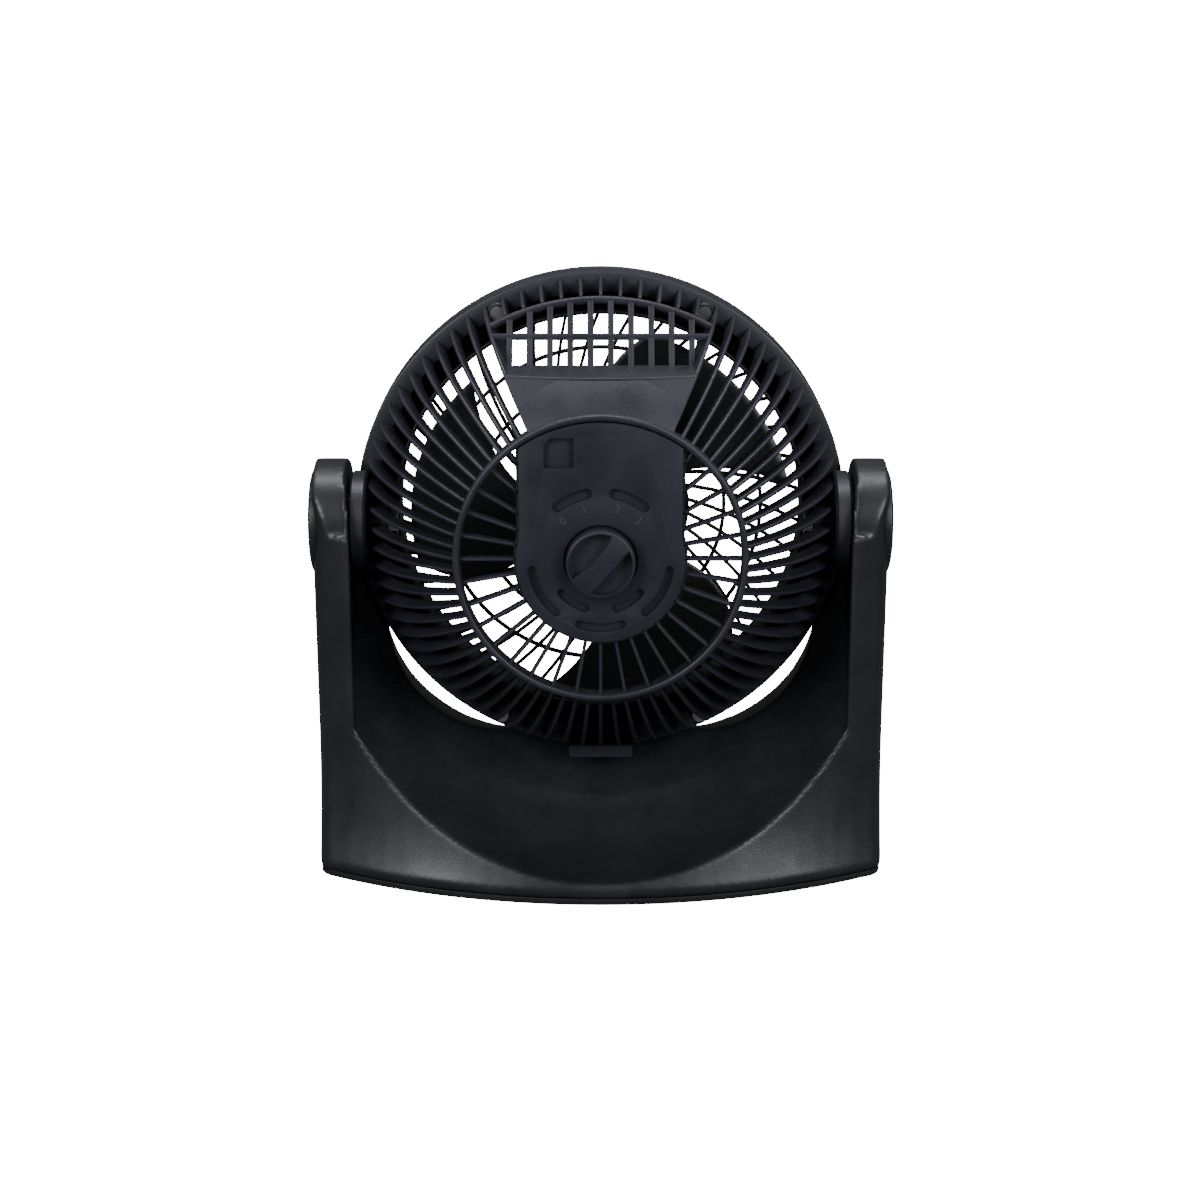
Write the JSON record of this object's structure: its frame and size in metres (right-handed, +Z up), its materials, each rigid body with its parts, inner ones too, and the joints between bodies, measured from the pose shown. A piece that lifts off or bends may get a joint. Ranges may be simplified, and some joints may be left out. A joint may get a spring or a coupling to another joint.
{
  "type": "air circulator fan",
  "caption": "Table air circulator fan: a ribbed round head tilts between the two arms of a moulded base, with a speed knob at the back.",
  "frame": {"origin": "on the floor, under the middle of the object's box", "axes": "+Z up; +Y the way the air blows; the ribbed back with the speed knob faces -Y; +X to the right seen from the back"},
  "size_m": [0.277, 0.16, 0.286],
  "materials": {
    "housing_plastic": "satin black, fine texture",
    "base_plastic": "satin black, fine texture",
    "dark_plastic": "matt black",
    "blade_plastic": "smooth black",
    "rubber": "matt black",
    "nylon": "natural nylon",
    "acetal": "black acetal",
    "steel": "zinc plated",
    "motor_iron": "stacked sheet steel",
    "copper_wire": "enamelled copper",
    "bronze": "sintered bronze",
    "aluminium_casting": "die cast"
  },
  "bodies": {
    "base": {"base_yoke": "base_plastic", "bottom_cover": "dark_plastic", "rubber_foot_rear_left": "rubber", "rubber_foot_rear_right": "rubber", "rubber_foot_front_left": "rubber", "rubber_foot_front_right": "rubber", "base_screw_1": "steel", "base_screw_2": "steel", "base_screw_3": "steel", "base_screw_4": "steel", "pivot_cap_left": "base_plastic", "pivot_bush_left": "acetal", "pivot_spring_washer_left": "steel", "pivot_cap_right": "base_plastic", "pivot_bush_right": "acetal", "pivot_spring_washer_right": "steel"},
    "head": {"rear_housing": "housing_plastic", "motor_cover": "housing_plastic", "cord_inlet": "rubber", "rotary_switch": "nylon", "front_bezel": "housing_plastic", "front_grille": "dark_plastic", "centre_cap": "housing_plastic", "housing_screw_1": "steel", "housing_screw_2": "steel", "housing_screw_3": "steel", "housing_screw_4": "steel", "stator_core": "motor_iron", "stator_winding": "copper_wire", "rear_motor_bracket": "aluminium_casting", "front_motor_bracket": "aluminium_casting", "rear_bearing": "bronze", "front_bearing": "bronze", "motor_screw_1": "steel", "motor_screw_2": "steel", "motor_screw_3": "steel", "motor_screw_4": "steel", "pivot_bolt_left": "steel", "pivot_nut_left": "steel", "pivot_bolt_right": "steel", "pivot_nut_right": "steel"},
    "knob": {"speed_knob": "housing_plastic", "switch_shaft": "steel"},
    "impeller": {"rotor": "motor_iron", "motor_shaft": "steel", "fan_blade": "blade_plastic", "spinner_nut": "dark_plastic"}
  },
  "joints": [
    {"name": "head_tilt", "type": "hinge", "parent": "base", "child": "head", "pos_m": [0, 0, 0.168], "axis": [1, 0, 0], "range_deg": [0, 90]},
    {"name": "knob_turn", "type": "hinge", "parent": "head", "child": "knob", "pos_m": [0, -0.075, 0.168], "axis": [0, 1, 0], "range_deg": [-84, 0]},
    {"name": "fan_spin", "type": "hinge", "parent": "head", "child": "impeller", "pos_m": [0, 0, 0.168], "axis": [0, 1, 0], "continuous": true}
  ]
}
